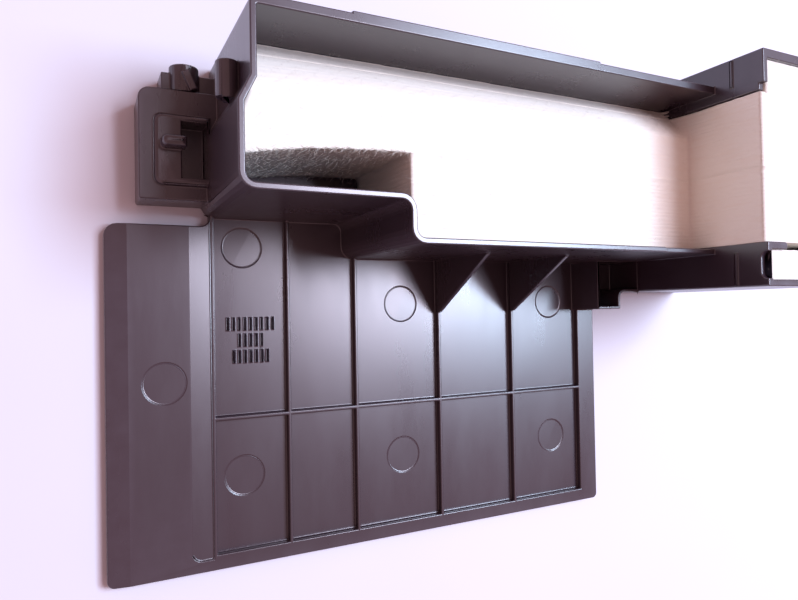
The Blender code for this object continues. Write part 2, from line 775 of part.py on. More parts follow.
def tray(parts, tools, finish):
    """The whole moulding: plate, trough, deep box and bracket in one piece of plastic."""
    body, pans, cells, ribs = plate_pieces(tools)
    moulding = solid("tray_moulding", parts)
    moulding.data = body.data.copy()
    bpy.data.objects.remove(body)
    corner_outer, corner_inner = corner_pieces(tools)
    shells, hollow, pads, pocket = bracket_pieces(tools)
    bosses, boss_cuts = screw_boss(tools)
    trough = prism("trough_outer", tools, rounded(trough_outline()), 0.0, TROUGH_RIM)
    box = prism("box_outer", tools, rounded(box_outline()), 0.0, BOX_RIM)

    combine(moulding, pans, "UNION")
    combine(moulding, cells + [plate_groove(tools), bent_edge(tools)], "DIFFERENCE")
    combine(moulding, ribs + [corner_outer], "UNION")
    combine(moulding, [corner_inner], "DIFFERENCE")
    combine(moulding, shells, "UNION")
    combine(moulding, [hollow], "DIFFERENCE")
    combine(moulding, pads + bosses + [trough, box, jog_peg(tools)], "UNION")
    combine(moulding, gussets(tools) + [back_lip(tools), box_collar(tools)], "UNION")
    combine(moulding, hollow_pieces(tools), "DIFFERENCE")
    combine(moulding, [partition(tools)], "UNION")
    combine(moulding, rim_cuts(tools) + [pocket] + boss_cuts, "DIFFERENCE")
    combine(moulding, ejector_marks(tools), "DIFFERENCE")
    combine(moulding, [snap_lug(tools)] + code_bars(tools), "UNION")
    moulding.data.materials.append(finish)
    return moulding


def felt_sheet(name, parts, outline, front, thickness, finish):
    """One die-cut sheet of felt: its outline is (x, z), its thickness along Y."""
    low_x = min(x for x, z in outline)
    low_z = min(z for x, z in outline)
    local = [(x - low_x, z - low_z) for x, z in outline]
    sheet = prism(name, parts, local, 0.0, thickness, axis="Y")
    sheet.location = ORIGIN + Vector((low_x, front, low_z))
    sheet.data.materials.append(finish)
    return sheet


def stepped_outline(left):
    """A long sheet: low in the trough, tall in the deep box."""
    right = BOX_LEFT + BOX_LENGTH - BOX_WALL - GAP
    low = SKIN + GAP
    return [
        (left, low),
        (right, low),
        (right, FELT_BOX_LEVEL),
        (BOX_LEFT, FELT_BOX_LEVEL),
        (BOX_LEFT, FELT_LEVEL),
        (left, FELT_LEVEL),
    ]


def short_outline():
    """A short sheet that stands in the deep box only."""
    left = BOX_LEFT + BOX_WALL + GAP
    right = BOX_LEFT + BOX_LENGTH - BOX_WALL - GAP
    low = SKIN + GAP
    return [(left, low), (right, low), (right, FELT_BOX_LEVEL), (left, FELT_BOX_LEVEL)]


def trough_outline_sheet(left):
    """The last sheet against the back wall, which ends at the deep box and is squeezed lower."""
    right = BOX_LEFT - GAP
    low = SKIN + GAP
    return [(left, low), (right, low), (right, FELT_BACK_LEVEL), (left, FELT_BACK_LEVEL)]


def felts(parts, finish):
    """The two long blocks of felt and the two short ones in the corners of the deep box."""
    lower_front = TROUGH_FRONT + PARTITION_WIDTH + GAP
    upper_back = TROUGH_BACK - BACK_WALL - FELT_BACK_SPACE
    count = LOWER_SHEETS + UPPER_SHEETS
    pitch = (upper_back - lower_front - BLOCK_SPACE + 2 * GAP) / count
    sheet = pitch - GAP
    upper_front = lower_front + LOWER_SHEETS * pitch - GAP + BLOCK_SPACE
    jog = TROUGH_LEFT + JOG_DEPTH + TROUGH_WALL + GAP
    straight = TROUGH_LEFT + TROUGH_WALL + GAP
    step = TROUGH_STEP + TROUGH_WALL + LOWER_BLOCK_INSET
    for index in range(LOWER_SHEETS):
        name = f"felt_lower_{index + 1}"
        felt_sheet(name, parts, stepped_outline(step), lower_front + index * pitch, sheet, finish)
    long_back = upper_front
    for index in range(UPPER_SHEETS):
        name = f"felt_upper_{index + 1}"
        front = upper_front + index * pitch
        left = straight if front + sheet < JOG_START else jog
        if front + sheet < MOUTH_BACK:
            outline = stepped_outline(left)
            long_back = front + sheet
        else:
            outline = trough_outline_sheet(left)
        felt_sheet(name, parts, outline, front, sheet, finish)
    corners = (
        ("felt_front_corner", FRONT_CORNER_SHEETS, BOX_FRONT + BOX_WALL, TROUGH_FRONT),
        ("felt_back_corner", BACK_CORNER_SHEETS, long_back, BOX_BACK - BOX_BACK_WALL),
    )
    for name, count, low, high in corners:
        share = (high - low - GAP) / count
        for index in range(count):
            front = low + GAP + index * share
            felt_sheet(f"{name}_{index + 1}", parts, short_outline(), front, share - GAP, finish)


def build():
    """Build the whole object."""
    clear_scene()
    parts = fresh_collection("waste_ink_pad_tray")
    tools = fresh_collection("cutters")
    plastic = material("brown_black_polystyrene", (0.035, 0.024, 0.026), 0.3)
    wool = material("white_felt", (0.85, 0.82, 0.79), 0.95)
    tray(parts, tools, plastic)
    felts(parts, wool)


build()
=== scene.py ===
"""Waste-ink pad tray: a glossy brown-black moulding filled with stacked white felt.

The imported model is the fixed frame. The moulding keeps its shape and gets rounded edges and a
finish; every felt sheet is replaced by a soft one with ridged edges and loose fibres.
"""

import json
import math

import bmesh
import bpy
from mathutils import Matrix, Vector, noise


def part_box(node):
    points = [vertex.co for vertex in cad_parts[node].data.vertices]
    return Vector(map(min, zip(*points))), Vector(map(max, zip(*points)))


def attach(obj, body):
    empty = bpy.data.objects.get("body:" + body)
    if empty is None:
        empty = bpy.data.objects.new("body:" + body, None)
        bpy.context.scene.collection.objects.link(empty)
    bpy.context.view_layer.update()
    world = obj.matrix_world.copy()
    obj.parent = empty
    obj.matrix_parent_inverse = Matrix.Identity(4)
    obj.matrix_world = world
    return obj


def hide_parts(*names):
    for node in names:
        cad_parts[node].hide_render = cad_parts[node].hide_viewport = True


bl_info = {
    "name": "Waste Ink Pad Tray",
    "version": (1, 0, 0),
    "blender": (4, 5, 0),
    "location": "View3D > Sidebar > Ink Pad Tray",
    "description": "Dresses a moulded tray with its finish, its felt sheets and a small studio",
    "category": "Add Mesh",
}

MM = 0.001

# The moulding.
WELD = 0.002 * MM  # corners closer than this are one corner
FLAT = math.cos(math.radians(1.0))  # faces that turn less than this are one flat face
PIN_RADIUS = 4.336 * MM  # the flat floor of a sunk ejector mark
PIN_MATCH = 0.06  # share by which a found disc may differ from a true round one
PIN_SIDES = 64
PIN_FOLD = math.radians(-62.0)  # direction of the crease across a mark
PIN_LIFT = 0.04 * MM
PIN_FLOOR = -0.02 * MM
PIN_RINGS = ((0.0, 0.0), (0.5, 0.0), (0.95, 0.0), (0.975, 0.025 * MM), (1.0, -0.03 * MM))
STEEP_PIN = math.radians(0.55)
SHALLOW_PIN = math.radians(0.25)
CREASE_FALL = 0.6  # the far side of a mark's crease falls by this share of the near side

# The felt sheets.
ROWS = 21  # rows of points across a sheet's thickness
PLY_RIDGES = 3
EDGE_FINE = 0.8 * MM
EDGE_MIDDLE = 1.5 * MM
EDGE_TALL = 2.0 * MM
EDGE_COARSE = 4.0 * MM
FINE_DEPTH = 9.0 * MM  # how far below its top a sheet has the fine grid
FLARE = 0.45 * MM  # how far the lower block's last sheet stands proud at its back
JOG = (34.7 * MM, 39.1 * MM)  # where the trough's left wall steps inwards, in Y
JOG_DEPTH = 2.2 * MM
JOG_SPREAD = 12.0 * MM
WALL_EDGE = 1.9 * MM  # how far the long sheets' step lies left of the front corner sheets
SLOPE_REACH = 9.0 * MM  # how far in front of the back wall the felt's top starts to fall
SLOPE_DEPTH = 12.0 * MM
SLOPE_POWER = 1.4
SLOPE_SHEETS = 3  # the last upper sheets, whose loose fibres follow the slope
FALL = 8.4 * MM

# Loose fibres.
FACE_FIBRE = 0.055 * MM
EDGE_FIBRE = 0.02 * MM
FIBRE_SIDES = 3
FIBRE_JOINTS = 4
FIBRE_ROOT = 0.2 * MM
FREE_END_DEPTH = 8.0 * MM  # how far down the left end fibres are seen

# The studio.
LAMP_DISTANCE = 1.0
WINDOW = {
    "elevation": 54.0, "azimuth": 18.5, "width": 0.48, "height": 0.22,
    "colour": (0.62, 0.77, 1.0),
}
SKY = {
    "elevation": 67.0, "azimuth": 23.0, "width": 0.40, "height": 0.24,
    "colour": (0.84, 0.80, 1.0),
}
ROOM_COLOUR = (1.0, 0.60, 0.62)
FLOOR_HALF = 1.5
FLOOR_GAP = 0.05 * MM

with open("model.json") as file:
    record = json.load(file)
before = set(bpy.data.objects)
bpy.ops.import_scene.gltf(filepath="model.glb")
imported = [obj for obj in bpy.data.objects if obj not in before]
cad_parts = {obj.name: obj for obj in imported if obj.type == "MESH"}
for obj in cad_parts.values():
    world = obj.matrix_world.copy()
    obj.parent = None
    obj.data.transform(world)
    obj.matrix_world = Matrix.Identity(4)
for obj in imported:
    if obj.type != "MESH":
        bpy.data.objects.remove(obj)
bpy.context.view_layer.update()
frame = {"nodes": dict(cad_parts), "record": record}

# ---------------------------------------------------------------------------
# settings
# ---------------------------------------------------------------------------
class TrayFinishSettings(bpy.types.PropertyGroup):
    """Colours and small sizes of the moulding and its felt."""

    plastic_colour: bpy.props.FloatVectorProperty(
        name="Plastic colour",
        description="Body colour of the moulded polystyrene",
        subtype="COLOR",
        size=3,
        min=0.0,
        max=1.0,
        default=(0.036, 0.022, 0.031),
    )
    plastic_roughness: bpy.props.FloatProperty(
        name="Plastic roughness",
        description="How much the moulded faces blur what they mirror",
        default=0.285,
        min=0.02,
        max=1.0,
    )
    edge_radius: bpy.props.FloatProperty(
        name="Edge radius",
        description="Radius that softens the moulding's edges",
        default=0.28 * MM,
        min=0.0,
        subtype="DISTANCE",
        unit="LENGTH",
    )
    felt_colour: bpy.props.FloatVectorProperty(
        name="Felt colour",
        description="Colour of clean felt",
        subtype="COLOR",
        size=3,
        min=0.0,
        max=1.0,
        default=(0.97, 0.93, 0.83),
    )
    felt_spread: bpy.props.FloatProperty(
        name="Felt spread",
        description="How far each sheet swells over its nominal thickness",
        default=0.62 * MM,
        min=0.0,
        subtype="DISTANCE",
        unit="LENGTH",
    )
    felt_sag: bpy.props.FloatProperty(
        name="Felt sag",
        description="Drop of the upper block's free end over the empty corner",
        default=2.4 * MM,
        min=0.0,
        subtype="DISTANCE",
        unit="LENGTH",
    )
    fibres_per_sheet: bpy.props.IntProperty(
        name="Fibres per sheet",
        description="Number of loose fibres that stand out of one sheet's upper edge",
        default=300,
        min=0,
    )
    face_fibres: bpy.props.IntProperty(
        name="Face fibres",
        description="Number of curly fibres on the broad face over the empty corner",
        default=1500,
        min=0,
    )
    fibre_length: bpy.props.FloatProperty(
        name="Fibre length",
        description="Length of the longest loose fibres",
        default=2.4 * MM,
        min=0.0,
        subtype="DISTANCE",
        unit="LENGTH",
    )


class TrayStudioSettings(bpy.types.PropertyGroup):
    """Floor, lights and camera."""

    floor_colour: bpy.props.FloatVectorProperty(
        name="Floor colour",
        description="Colour of the pale table top",
        subtype="COLOR",
        size=3,
        min=0.0,
        max=1.0,
        default=(0.73, 0.72, 0.78),
    )
    window_power: bpy.props.FloatProperty(
        name="Window power",
        description="Power of the soft light beyond the trough's deep end",
        default=9.8,
        min=0.0,
        subtype="POWER",
        unit="POWER",
    )
    sky_power: bpy.props.FloatProperty(
        name="Sky power",
        description="Power of the paler light above the window",
        default=5.8,
        min=0.0,
        subtype="POWER",
        unit="POWER",
    )
    room_strength: bpy.props.FloatProperty(
        name="Room strength",
        description="Strength of the warm light from the rest of the room",
        default=0.5,
        min=0.0,
    )
    camera_place: bpy.props.FloatVectorProperty(
        name="Camera place",
        description="Where the camera stands",
        subtype="TRANSLATION",
        unit="LENGTH",
        size=3,
        default=(-88.1 * MM, -2.05 * MM, 144.5 * MM),
    )
    camera_turn: bpy.props.FloatVectorProperty(
        name="Camera turn",
        description="The camera's rotation",
        subtype="EULER",
        unit="ROTATION",
        size=3,
        default=(math.radians(1.41), math.radians(-26.48), math.radians(-1.17)),
    )
    camera_lens: bpy.props.FloatProperty(
        name="Camera lens",
        description="Focal length on a 36 mm sensor",
        default=28.87,
        min=1.0,
        subtype="DISTANCE_CAMERA",
    )


# ---------------------------------------------------------------------------
# materials
# ---------------------------------------------------------------------------
class Nodes:
    """Short calls that add and join shader nodes."""

    def __init__(self, name):
        self.material = bpy.data.materials.new(name)
        self.material.use_nodes = True
        self.tree = self.material.node_tree
        self.shader = self.tree.nodes["Principled BSDF"]

    def add(self, kind, inputs=None, **settings):
        node = self.tree.nodes.new(kind)
        for key, value in settings.items():
            setattr(node, key, value)
        for key, value in (inputs or {}).items():
            if isinstance(value, bpy.types.NodeSocket):
                self.tree.links.new(value, node.inputs[key])
            else:
                node.inputs[key].default_value = value
        return node

    def link(self, source, target):
        self.tree.links.new(source, target)

    def place(self, stretch=(1.0, 1.0, 1.0), turn=(0.0, 0.0, 0.0)):
        """Object coordinates, stretched and turned."""
        coordinates = self.add("ShaderNodeTexCoord")
        mapping = self.add("ShaderNodeMapping", {"Vector": coordinates.outputs["Object"]})
        mapping.inputs["Scale"].default_value = stretch
        mapping.inputs["Rotation"].default_value = turn
        return mapping.outputs["Vector"]

    def noise(self, place, scale, detail=4.0, roughness=0.5, distortion=0.0):
        node = self.add("ShaderNodeTexNoise", {"Vector": place, "Scale": scale})
        node.inputs["Detail"].default_value = detail
        node.inputs["Roughness"].default_value = roughness
        node.inputs["Distortion"].default_value = distortion
        return node.outputs["Fac"]

    def ramp(self, value, stops, interpolation="LINEAR"):
        node = self.add("ShaderNodeValToRGB", {"Fac": value})
        node.color_ramp.interpolation = interpolation
        elements = node.color_ramp.elements
        while len(elements) < len(stops):
            elements.new(0.5)
        for element, (position, colour) in zip(elements, stops):
            element.position = position
            if isinstance(colour, (int, float)):
                colour = (colour, colour, colour)
            element.color = (*colour, 1.0)
        return node.outputs["Color"]

    def mix(self, factor, first, second, blend="MIX"):
        node = self.add("ShaderNodeMix", data_type="RGBA", blend_type=blend)
        for name, value in (("Factor", factor), ("A", first), ("B", second)):
            socket = next(
                s for s in node.inputs if s.name == name and s.enabled and not s.is_linked
            )
            if isinstance(value, bpy.types.NodeSocket):
                self.link(value, socket)
            elif name == "Factor":
                socket.default_value = value
            else:
                socket.default_value = (*value, 1.0)
        return next(s for s in node.outputs if s.enabled)

    def math(self, operation, first, second=0.0, clamp=False):
        node = self.add("ShaderNodeMath", operation=operation, use_clamp=clamp)
        for index, value in enumerate((first, second)):
            if isinstance(value, bpy.types.NodeSocket):
                self.link(value, node.inputs[index])
            else:
                node.inputs[index].default_value = value
        return node.outputs["Value"]

    def bump(self, height, strength, distance, normal=None):
        node = self.add("ShaderNodeBump", {"Height": height})
        node.inputs["Strength"].default_value = strength
        node.inputs["Distance"].default_value = distance
        if normal is not None:
            self.link(normal, node.inputs["Normal"])
        return node.outputs["Normal"]


def scaled(colour, factor):
    """The colour, lighter or darker."""
    return tuple(min(1.0, channel * factor) for channel in colour)


def plastic_material(settings):
    """Glossy moulded polystyrene with faint flow marks, a little dust and paler edges, partly wear
    and partly a painted highlight.
    """
    nodes = Nodes("glossy_polystyrene")
    base = tuple(settings.plastic_colour)
    plain = nodes.place()
    flow = nodes.noise(nodes.place((1.0, 0.35, 1.0)), 28.0, 3.0, 0.55, 0.6)
    colour = nodes.ramp(flow, [(0.3, scaled(base, 0.9)), (0.7, scaled(base, 1.12))])

    specks = nodes.add(
        "ShaderNodeTexVoronoi", {"Vector": plain, "Scale": 380.0, "Randomness": 1.0}
    )
    speck = nodes.ramp(specks.outputs["Distance"], [(0.02, 1.0), (0.05, 0.0)])
    patches = nodes.ramp(nodes.noise(plain, 46.0, 3.0, 0.6), [(0.55, 0.0), (0.75, 1.0)])
    dust = nodes.math("MULTIPLY", speck, patches)
    # paler colour on convex edges: partly real wear, partly a painted highlight where the rims and
    # rib tops catch the light
    edge_wear_and_highlight = nodes.add("ShaderNodeNewGeometry")
    edge = nodes.ramp(edge_wear_and_highlight.outputs["Pointiness"], [(0.52, 0.0), (0.60, 1.0)])
    edge = nodes.math("MULTIPLY", edge, nodes.noise(plain, 260.0, 3.0, 0.6))
    colour = nodes.mix(nodes.math("MULTIPLY", dust, 0.16), colour, (0.36, 0.33, 0.36))
    colour = nodes.mix(nodes.math("MULTIPLY", edge, 0.4), colour, (0.19, 0.17, 0.21))
    nodes.link(colour, nodes.shader.inputs["Base Color"])

    level = settings.plastic_roughness
    streaks = nodes.noise(nodes.place((1.0, 0.25, 1.0)), 90.0, 5.0, 0.65)
    rough = nodes.ramp(streaks, [(0.3, level * 0.9), (0.7, level * 1.12)])
    rough = nodes.mix(dust, rough, (0.5, 0.5, 0.5))
    nodes.link(rough, nodes.shader.inputs["Roughness"])
    nodes.shader.inputs["IOR"].default_value = 1.59
    nodes.shader.inputs["Specular IOR Level"].default_value = 0.8
    nodes.shader.inputs["Metallic"].default_value = 0.0

    wave = nodes.bump(nodes.noise(plain, 55.0, 2.0, 0.4), 0.3, 0.05 * MM)
    grain = nodes.bump(nodes.noise(plain, 1400.0, 2.0, 0.6), 0.08, 0.02 * MM, wave)
    nodes.link(grain, nodes.shader.inputs["Normal"])
    return nodes.material


def felt_material(settings):
    """Needled white felt: faint plies seen from the edge with painted shade in their grooves,
    tangled fibres and slight yellowing.
    """
    nodes = Nodes("needled_felt")
    base = tuple(settings.felt_colour)
    plain = nodes.place()
    plies = nodes.noise(nodes.place((0.12, 1.0, 0.12)), 900.0, 3.0, 0.6, 0.3)
    tangle = nodes.noise(nodes.place((1.0, 2.2, 1.0)), 800.0, 5.0, 0.7, 1.2)
    lumps = nodes.noise(plain, 150.0, 4.0, 0.6)
    colour = nodes.ramp(lumps, [(0.3, scaled(base, 0.98)), (0.7, scaled(base, 1.015))])
    threads = nodes.ramp(tangle, [(0.34, 0.0), (0.5, 1.0)])
    colour = nodes.mix(nodes.math("MULTIPLY", threads, 0.06), scaled(base, 0.94), colour)
    # painted shade: a darker, browner colour in the grooves between the plies
    ply_groove_shade = nodes.ramp(plies, [(0.36, 1.0), (0.47, 0.0)])
    shade = (base[0] * 0.9, base[1] * 0.83, base[2] * 0.76)
    colour = nodes.mix(nodes.math("MULTIPLY", ply_groove_shade, 0.16), colour, shade)
    nodes.link(colour, nodes.shader.inputs["Base Color"])
    rough = nodes.ramp(tangle, [(0.3, 0.88), (0.7, 1.0)])
    nodes.link(rough, nodes.shader.inputs["Roughness"])
    nodes.shader.inputs["Specular IOR Level"].default_value = 0.12
    nodes.shader.inputs["Sheen Weight"].default_value = 0.15
    nodes.shader.inputs["Sheen Roughness"].default_value = 0.5
    first = nodes.bump(plies, 0.16, 0.08 * MM)
    second = nodes.bump(tangle, 0.2, 0.08 * MM, first)
    nodes.link(second, nodes.shader.inputs["Normal"])
    return nodes.material


def fibre_material(settings):
    """Single felt fibres, a little brighter and shinier than the felt."""
    nodes = Nodes("loose_fibres")
    base = tuple(settings.felt_colour)
    tint = nodes.noise(nodes.place(), 700.0, 2.0)
    colour = nodes.ramp(tint, [(0.3, scaled(base, 0.93)), (0.7, scaled(base, 1.08))])
    nodes.link(colour, nodes.shader.inputs["Base Color"])
    rough = nodes.ramp(tint, [(0.3, 0.55), (0.7, 0.75)])
    nodes.link(rough, nodes.shader.inputs["Roughness"])
    nodes.shader.inputs["Sheen Weight"].default_value = 0.3
    return nodes.material


def floor_material(settings):
    """Smooth pale table top with a barely seen grain."""
    nodes = Nodes("pale_table_top")
    base = tuple(settings.floor_colour)
    patch = nodes.noise(nodes.place(), 9.0, 3.0, 0.5)
    colour = nodes.ramp(patch, [(0.3, scaled(base, 0.985)), (0.7, scaled(base, 1.015))])
    nodes.link(colour, nodes.shader.inputs["Base Color"])
    nodes.shader.inputs["Roughness"].default_value = 0.6
    nodes.shader.inputs["Specular IOR Level"].default_value = 0.2
    nodes.link(
        nodes.bump(nodes.noise(nodes.place(), 900.0, 2.0), 0.08, 0.05 * MM),
        nodes.shader.inputs["Normal"],
    )
    return nodes.material


# ---------------------------------------------------------------------------
# shapes
# ---------------------------------------------------------------------------
def add_object(name, shape):
    """Turn a bmesh into an object of the scene."""
    mesh = bpy.data.meshes.new(name)
    bmesh.ops.recalc_face_normals(shape, faces=shape.faces)
    shape.to_mesh(mesh)
    shape.free()
    obj = bpy.data.objects.new(name, mesh)
    bpy.context.scene.collection.objects.link(obj)
    return obj


def wander(x, y, z, scale, seed):
    """Smooth noise from -1 to 1 at a point given in metres."""
    return noise.noise(Vector((x / scale + seed * 7.31, y / scale, z / scale)))


def spaced(low, high, step):
    """Even numbers from low to high, about a step apart, without the last one."""
    count = max(1, round((high - low) / step))
    return [low + (high - low) * k / count for k in range(count)]


def lean_at(x, y, lean):
    """How far the upper block leans over the empty corner, most at its front and free end.

    lean is (amount, where the bend starts, the free end, the block's front, the block's back).
    """
    amount, start, end, front, back = lean
    if amount <= 0.0 or x > start:
        return 0.0
    t = min(1.0, (start - x) / (start - end))
    share = max(0.0, min(1.0, (back - y) / (back - front)))
    return amount * t * t * (1.0 + 0.35 * t) * share


def left_at(y):
    """Where the felt's left end meets the trough's wall, which steps inwards towards the back."""
    front, back = JOG
    t = max(0.0, min(1.0, (y - front) / (back - front)))
    return JOG_DEPTH * (1.0 - t)


def slope_at(y, slope):
    """Height of the felt's top as it falls towards the back wall; slope is (level, wall, reach)."""
    level, wall, reach = slope
    t = max(0.0, min(1.0, (y - (wall - reach)) / reach))
    return level - FALL * t ** SLOPE_POWER


def sheet_grid(low, high, step):
    """The two lists of grid lines of a sheet, in X and in Z, and whether a cell is inside it."""
    if step is None:
        across = spaced(low.x, high.x, EDGE_MIDDLE) + [high.x]
        up = spaced(low.z, high.z - FINE_DEPTH, EDGE_COARSE)
        up += spaced(high.z - FINE_DEPTH, high.z, EDGE_FINE) + [high.z]
        return across, up, lambda x, z: True
    across = spaced(low.x, step[0], EDGE_FINE) + spaced(step[0], high.x, EDGE_MIDDLE) + [high.x]
    up = spaced(low.z, step[1] - FINE_DEPTH, EDGE_TALL)
    up += spaced(step[1] - FINE_DEPTH, high.z, EDGE_FINE) + [high.z]
    return across, up, lambda x, z: x > step[0] or z < step[1]


def edge_push(x, y, z, v, flare, seed):
    """How far a cut edge stands out at v, from -1 to 1 across the sheet's thickness."""
    push = 0.02 * MM * math.cos(math.pi * PLY_RIDGES * v) - 0.07 * MM * abs(v) ** 12
    push += flare * max(0.0, v) ** 3 * (1.0 + 0.5 * wander(x, 0.0, z, 5.0 * MM, seed + 11))
    push += 0.04 * MM * wander(x, y * 3.0, z, 1.9 * MM, seed)
    push += 0.03 * MM * wander(x, y * 2.0, z, 0.7 * MM, seed + 3)
    return push + 0.05 * MM * wander(x, 0.0, z, 9.0 * MM, seed + 5)


def soft_sheet(name, low, high, step, seed, spread, lean, slope, flare):
    """One felt sheet on a grid: swollen, with faint ridges along its cut edge and rough faces.

    step is (X, Z) of the corner where the sheet rises into the deep box, or None.
    """
    across, up, inside = sheet_grid(low, high, step)
    thick = high.y - low.y + spread
    middle = (low.y + high.y) / 2
    top = high.z if step is None else step[1]
    slope_end = high.x if step is None else step[0] - 0.5 * MM

    def filled(i, k):
        if not (0 <= i < len(across) - 1 and 0 <= k < len(up) - 1):
            return False
        return inside((across[i] + across[i + 1]) / 2, (up[k] + up[k + 1]) / 2)

    shape = bmesh.new()
    made = {}

    def corner(i, k, row):
        key = (i, k, row)
        if key in made:
            return made[key]
        x, z = across[i], up[k]
        reach = 0.0
        v = -1.0 + 2.0 * row / (ROWS - 1)
        y = middle + v * thick / 2
        out = Vector((0.0, 0.0))
        for di, dk in ((0, 0), (-1, 0), (0, -1), (-1, -1)):
            if not filled(i + di, k + dk):
                out += Vector((2 * di + 1, 2 * dk + 1))
        if out.length > 0.0:
            out.normalize()
            push = edge_push(x, y, z, v, flare, seed)
            x += out.x * push
            z += out.y * push
        if lean[0] > 0.0 and low.x > lean[2] + 1.0 * MM:
            reach = left_at(y)
        if row in (0, ROWS - 1):
            y += 0.10 * MM * wander(x, y, z, 1.6 * MM, seed + 7)
        if slope is not None and x < slope_end:
            share = max(0.0, 1.0 - (top - z) / SLOPE_DEPTH)
            z += (slope_at(y, slope) - top) * min(1.0, share)
        x -= reach * max(0.0, 1.0 - (x - low.x) / JOG_SPREAD)
        y -= lean_at(x, y, lean)
        made[key] = shape.verts.new((x, y, z))
        return made[key]

    def side(first, second):
        for row in range(ROWS - 1):
            shape.faces.new(
                (corner(*first, row), corner(*second, row),
                 corner(*second, row + 1), corner(*first, row + 1))
            )

    for i in range(len(across) - 1):
        for k in range(len(up) - 1):
            if not filled(i, k):
                continue
            for row in (0, ROWS - 1):
                shape.faces.new(
                    (corner(i, k, row), corner(i + 1, k, row),
                     corner(i + 1, k + 1, row), corner(i, k + 1, row))
                )
            if not filled(i - 1, k):
                side((i, k), (i, k + 1))
            if not filled(i + 1, k):
                side((i + 1, k), (i + 1, k + 1))
            if not filled(i, k - 1):
                side((i, k), (i + 1, k))
            if not filled(i, k + 1):
                side((i, k + 1), (i + 1, k + 1))
    obj = add_object(name, shape)
    obj.data.shade_smooth()
    return obj


def fibre_tuft(name, roots, longest, thin, seed):
    """Loose fibres that rise from the given roots (point, direction) as thin bent threads."""
    shape = bmesh.new()
    for root, direction in roots:
        pick = 0.5 + 0.5 * wander(root.x, root.y, root.z, 0.31 * MM, seed + 21)
        length = longest * (0.25 + 0.75 * pick)
        bend = Vector((
            wander(root.x, root.y, root.z, 0.43 * MM, seed + 31),
            wander(root.x, root.y, root.z, 0.37 * MM, seed + 41),
            wander(root.x, root.y, root.z, 0.29 * MM, seed + 51),
        ))
        heading = (direction + bend * 1.3).normalized()
        point = root - direction * FIBRE_ROOT
        side = heading.orthogonal().normalized()
        previous = None
        for joint in range(FIBRE_JOINTS + 1):
            radius = thin * (1.0 - 0.75 * joint / FIBRE_JOINTS)
            ring = []
            for k in range(FIBRE_SIDES):
                arm = side.copy()
                arm.rotate(Matrix.Rotation(2 * math.pi * k / FIBRE_SIDES, 3, heading))
                ring.append(shape.verts.new(point + arm * radius))
            if previous:
                for k in range(FIBRE_SIDES):
                    after = (k + 1) % FIBRE_SIDES
                    shape.faces.new((previous[k], previous[after], ring[after], ring[k]))
            else:
                shape.faces.new(tuple(reversed(ring)))
            previous = ring
            heading = (heading + bend * 0.55).normalized()
            point = point + heading * (length / FIBRE_JOINTS)
        shape.faces.new(tuple(previous))
    obj = add_object(name, shape)
    obj.data.shade_smooth()
    return obj


def halton(index, base):
    """The Halton number of an index in a base: numbers from 0 to 1, evenly spread."""
    value = 0.0
    part = 1.0 / base
    while index:
        value += part * (index % base)
        index //= base
        part /= base
    return value


def edge_roots(low, high, step, count, seed, lean):
    """Where loose fibres leave a sheet's seen edges: its top, its step and its left end."""
    up = Vector((0.0, 0.0, 1.0))
    left = Vector((-1.0, 0.0, 0.0))
    if step is None:
        stretches = [((low.x, high.z), (high.x, high.z), up)]
    else:
        stretches = [
            ((low.x, step[1]), (step[0], step[1]), up),
            ((step[0], step[1]), (step[0], high.z), left),
            ((step[0], high.z), (high.x, high.z), up),
            ((low.x, step[1] - FREE_END_DEPTH), (low.x, step[1]), left),
        ]
    lengths = [math.dist(a, b) for a, b, _ in stretches]
    total = sum(lengths)
    roots = []
    for index in range(count):
        place = halton(index + 1 + seed * 17, 2) * total
        across = halton(index + 1 + seed * 17, 3)
        for (a, b, out), length in zip(stretches, lengths):
            if place <= length:
                break
            place -= length
        x = a[0] + (b[0] - a[0]) * place / length
        z = a[1] + (b[1] - a[1]) * place / length
        y = low.y + (high.y - low.y) * across
        roots.append((Vector((x, y - lean_at(x, y, lean), z)), out))
    return roots


def face_roots(x_range, z_range, y, outward, count, seed, lean):
    """Where curly fibres leave a broad face of a sheet."""
    direction = Vector((-3.0, outward * 0.3, 0.0))
    roots = []
    for index in range(count):
        x = x_range[0] + (x_range[1] - x_range[0]) * halton(index + 1 + seed * 13, 2)
        deep = halton(index + 1 + seed * 13, 3)
        z = z_range[1] - (z_range[1] - z_range[0]) * deep * deep
        roots.append((Vector((x, y - lean_at(x, y, lean), z)), direction))
    return roots


def flat_discs(tray, radius):
    """Centres of the moulding's flat round faces of one radius, found from its own mesh."""
    mesh = bmesh.new()
    mesh.from_mesh(tray.data)
    bmesh.ops.remove_doubles(mesh, verts=mesh.verts, dist=WELD)
    upward = {face for face in mesh.faces if face.normal.z > 0.99}
    centres = []
    for start in mesh.faces:
        if start not in upward:
            continue
        upward.remove(start)
        group = [start]
        for face in group:
            for edge in face.edges:
                for other in edge.link_faces:
                    if other in upward and face.normal.dot(other.normal) > FLAT:
                        upward.remove(other)
                        group.append(other)
        area = sum(face.calc_area() for face in group)
        if abs(area / (math.pi * radius * radius) - 1.0) < PIN_MATCH:
            points = [vertex.co for face in group for vertex in face.verts]
            centre = sum(points, Vector()) / len(points)
            left, right = min(p.x for p in points), max(p.x for p in points)
            front, back = min(p.y for p in points), max(p.y for p in points)
            if abs((right - left) / (back - front) - 1.0) < PIN_MATCH:
                middle = Vector(((right + left) / 2, (back + front) / 2, centre.z))
                centres.append((tray.matrix_world @ middle, group[0].normal.copy()))
    mesh.free()
    return sorted(centres, key=lambda item: (round(item[0].x, 4), item[0].y))


